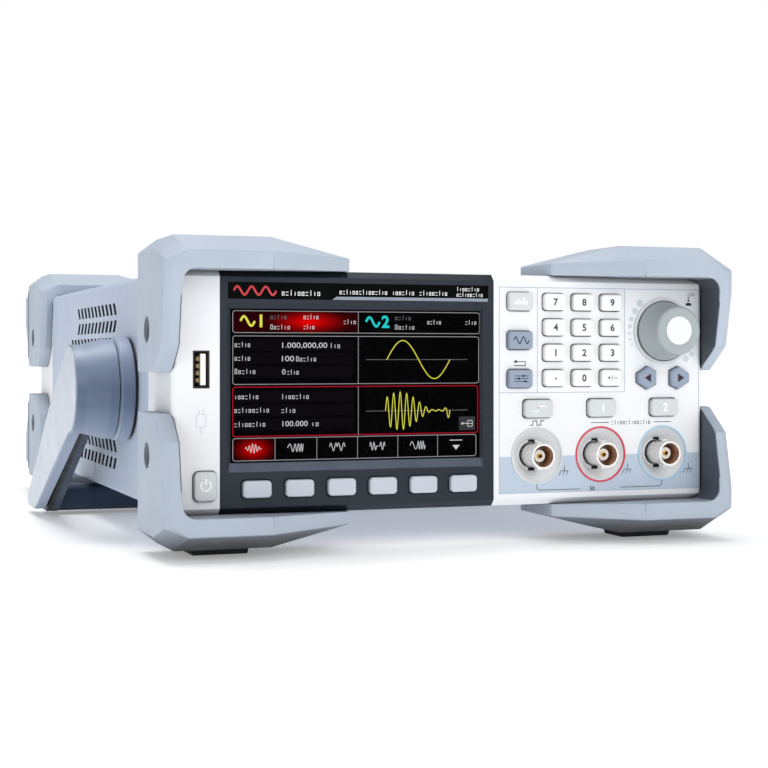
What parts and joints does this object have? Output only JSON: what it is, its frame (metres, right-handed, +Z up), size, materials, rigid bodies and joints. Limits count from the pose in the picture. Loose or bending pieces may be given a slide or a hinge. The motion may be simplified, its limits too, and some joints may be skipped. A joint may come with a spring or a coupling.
{
  "type": "function generator",
  "caption": "Bench function generator with colour screen, soft keys, keypad, encoder knob, front BNC outputs, corner bumpers and a turning carrying handle.",
  "frame": {"origin": "bottom centre of the overall box, on the surface the feet stand on", "axes": "+Z up, -Y out of the front panel, +X to the right as the panel is read"},
  "size_m": [0.263, 0.3565, 0.1154],
  "materials": {
    "white_case": "satin",
    "dark_frame": "semi-gloss",
    "lens": "gloss",
    "lcd": "matte",
    "circuit_board": "satin",
    "key_mat": "matte",
    "encoder": "matte",
    "plunger": "matte",
    "steel": "brushed",
    "knob_grey": "satin",
    "cap_white": "satin",
    "soft_key": "satin",
    "white_key": "satin",
    "pale_key": "satin",
    "blue_key": "satin",
    "nickel": "polished",
    "insulator": "satin",
    "sleeve_blue": "fine grain",
    "bumper": "matte",
    "foot": "matte",
    "handle_light": "fine grain",
    "handle_dark": "satin",
    "panel_metal": "satin",
    "tray": "brushed",
    "black_plastic": "matte"
  },
  "bodies": {
    "case": {"front_bezel": "white_case", "display_frame": "dark_frame", "display_lens": "lens", "lcd_module": "lcd", "front_board": "circuit_board", "key_mat": "key_mat", "encoder_body": "encoder", "knob_ring": "white_case", "bnc_shells": "nickel", "bnc_cores": "insulator", "usb_port": "steel", "case_sleeve": "sleeve_blue", "rear_bezel": "white_case", "rear_panel": "panel_metal", "front_bumpers": "bumper", "rear_bumpers": "bumper", "foot_pads": "foot", "hub_rings": "sleeve_blue", "chassis_tray": "tray", "main_board": "circuit_board", "power_supply": "circuit_board", "fan_frame": "black_plastic", "rear_sockets": "black_plastic", "screws": "steel"},
    "handle": {"handle_bail": "handle_dark", "handle_cover_left": "handle_light", "handle_cover_right": "handle_light"},
    "encoder_push": {"encoder_plunger": "plunger"},
    "knob": {"knob": "knob_grey", "knob_cap": "cap_white", "encoder_shaft": "steel"},
    "fan_rotor": {"fan_rotor": "black_plastic"},
    "mains_rocker": {"mains_switch": "black_plastic"},
    "soft_key_1": {"soft_key_1": "soft_key"},
    "soft_key_2": {"soft_key_2": "soft_key"},
    "soft_key_3": {"soft_key_3": "soft_key"},
    "soft_key_4": {"soft_key_4": "soft_key"},
    "soft_key_5": {"soft_key_5": "soft_key"},
    "soft_key_6": {"soft_key_6": "soft_key"},
    "key_7": {"key_7": "white_key"},
    "key_8": {"key_8": "white_key"},
    "key_9": {"key_9": "white_key"},
    "key_4": {"key_4": "white_key"},
    "key_5": {"key_5": "white_key"},
    "key_6": {"key_6": "white_key"},
    "key_1": {"key_1": "white_key"},
    "key_2": {"key_2": "white_key"},
    "key_3": {"key_3": "white_key"},
    "key_point": {"key_point": "white_key"},
    "key_0": {"key_0": "white_key"},
    "key_sign": {"key_sign": "white_key"},
    "key_mode": {"key_mode": "pale_key"},
    "key_wave": {"key_wave": "blue_key"},
    "key_utility": {"key_utility": "blue_key"},
    "key_left": {"key_left": "blue_key"},
    "key_right": {"key_right": "blue_key"},
    "key_trigger": {"key_trigger": "pale_key"},
    "key_channel_1": {"key_channel_1": "pale_key"},
    "key_channel_2": {"key_channel_2": "pale_key"},
    "power_button": {"power_button": "pale_key"}
  },
  "joints": [
    {"name": "handle_turn", "type": "hinge", "parent": "case", "child": "handle", "pos_m": [0, -0.08525, 0.0592], "axis": [-1, 0, 0], "range_deg": [0, 306]},
    {"name": "encoder_press", "type": "slide", "parent": "case", "child": "encoder_push", "axis": [0, 1, 0], "range_m": [0, 0.0005], "stiffness_N_per_m": 8000},
    {"name": "knob_turn", "type": "hinge", "parent": "encoder_push", "child": "knob", "pos_m": [0.0897, -0.16975, 0.0821], "axis": [0, -1, 0], "continuous": true},
    {"name": "fan_spin", "type": "hinge", "parent": "case", "child": "fan_rotor", "pos_m": [-0.0515, 0.14425, 0.0632], "axis": [0, 1, 0], "continuous": true},
    {"name": "mains_rock", "type": "hinge", "parent": "case", "child": "mains_rocker", "pos_m": [0.0765, 0.15295, 0.0732], "axis": [1, 0, 0], "range_deg": [0, 16]},
    {"name": "soft_key_1_press", "type": "slide", "parent": "case", "child": "soft_key_1", "axis": [0, 1, 0], "range_m": [0, 0.0012], "stiffness_N_per_m": 1500},
    {"name": "soft_key_2_press", "type": "slide", "parent": "case", "child": "soft_key_2", "axis": [0, 1, 0], "range_m": [0, 0.0012], "stiffness_N_per_m": 1500},
    {"name": "soft_key_3_press", "type": "slide", "parent": "case", "child": "soft_key_3", "axis": [0, 1, 0], "range_m": [0, 0.0012], "stiffness_N_per_m": 1500},
    {"name": "soft_key_4_press", "type": "slide", "parent": "case", "child": "soft_key_4", "axis": [0, 1, 0], "range_m": [0, 0.0012], "stiffness_N_per_m": 1500},
    {"name": "soft_key_5_press", "type": "slide", "parent": "case", "child": "soft_key_5", "axis": [0, 1, 0], "range_m": [0, 0.0012], "stiffness_N_per_m": 1500},
    {"name": "soft_key_6_press", "type": "slide", "parent": "case", "child": "soft_key_6", "axis": [0, 1, 0], "range_m": [0, 0.0012], "stiffness_N_per_m": 1500},
    {"name": "key_7_press", "type": "slide", "parent": "case", "child": "key_7", "axis": [0, 1, 0], "range_m": [0, 0.0012], "stiffness_N_per_m": 1500},
    {"name": "key_8_press", "type": "slide", "parent": "case", "child": "key_8", "axis": [0, 1, 0], "range_m": [0, 0.0012], "stiffness_N_per_m": 1500},
    {"name": "key_9_press", "type": "slide", "parent": "case", "child": "key_9", "axis": [0, 1, 0], "range_m": [0, 0.0012], "stiffness_N_per_m": 1500},
    {"name": "key_4_press", "type": "slide", "parent": "case", "child": "key_4", "axis": [0, 1, 0], "range_m": [0, 0.0012], "stiffness_N_per_m": 1500},
    {"name": "key_5_press", "type": "slide", "parent": "case", "child": "key_5", "axis": [0, 1, 0], "range_m": [0, 0.0012], "stiffness_N_per_m": 1500},
    {"name": "key_6_press", "type": "slide", "parent": "case", "child": "key_6", "axis": [0, 1, 0], "range_m": [0, 0.0012], "stiffness_N_per_m": 1500},
    {"name": "key_1_press", "type": "slide", "parent": "case", "child": "key_1", "axis": [0, 1, 0], "range_m": [0, 0.0012], "stiffness_N_per_m": 1500},
    {"name": "key_2_press", "type": "slide", "parent": "case", "child": "key_2", "axis": [0, 1, 0], "range_m": [0, 0.0012], "stiffness_N_per_m": 1500},
    {"name": "key_3_press", "type": "slide", "parent": "case", "child": "key_3", "axis": [0, 1, 0], "range_m": [0, 0.0012], "stiffness_N_per_m": 1500},
    {"name": "key_point_press", "type": "slide", "parent": "case", "child": "key_point", "axis": [0, 1, 0], "range_m": [0, 0.0012], "stiffness_N_per_m": 1500},
    {"name": "key_0_press", "type": "slide", "parent": "case", "child": "key_0", "axis": [0, 1, 0], "range_m": [0, 0.0012], "stiffness_N_per_m": 1500},
    {"name": "key_sign_press", "type": "slide", "parent": "case", "child": "key_sign", "axis": [0, 1, 0], "range_m": [0, 0.0012], "stiffness_N_per_m": 1500},
    {"name": "key_mode_press", "type": "slide", "parent": "case", "child": "key_mode", "axis": [0, 1, 0], "range_m": [0, 0.0012], "stiffness_N_per_m": 1500},
    {"name": "key_wave_press", "type": "slide", "parent": "case", "child": "key_wave", "axis": [0, 1, 0], "range_m": [0, 0.0012], "stiffness_N_per_m": 1500},
    {"name": "key_utility_press", "type": "slide", "parent": "case", "child": "key_utility", "axis": [0, 1, 0], "range_m": [0, 0.0012], "stiffness_N_per_m": 1500},
    {"name": "key_left_press", "type": "slide", "parent": "case", "child": "key_left", "axis": [0, 1, 0], "range_m": [0, 0.0012], "stiffness_N_per_m": 1500},
    {"name": "key_right_press", "type": "slide", "parent": "case", "child": "key_right", "axis": [0, 1, 0], "range_m": [0, 0.0012], "stiffness_N_per_m": 1500},
    {"name": "key_trigger_press", "type": "slide", "parent": "case", "child": "key_trigger", "axis": [0, 1, 0], "range_m": [0, 0.0012], "stiffness_N_per_m": 1500},
    {"name": "key_channel_1_press", "type": "slide", "parent": "case", "child": "key_channel_1", "axis": [0, 1, 0], "range_m": [0, 0.0012], "stiffness_N_per_m": 1500},
    {"name": "key_channel_2_press", "type": "slide", "parent": "case", "child": "key_channel_2", "axis": [0, 1, 0], "range_m": [0, 0.0012], "stiffness_N_per_m": 1500},
    {"name": "power_button_press", "type": "slide", "parent": "case", "child": "power_button", "axis": [0, 1, 0], "range_m": [0, 0.0012], "stiffness_N_per_m": 1500}
  ]
}
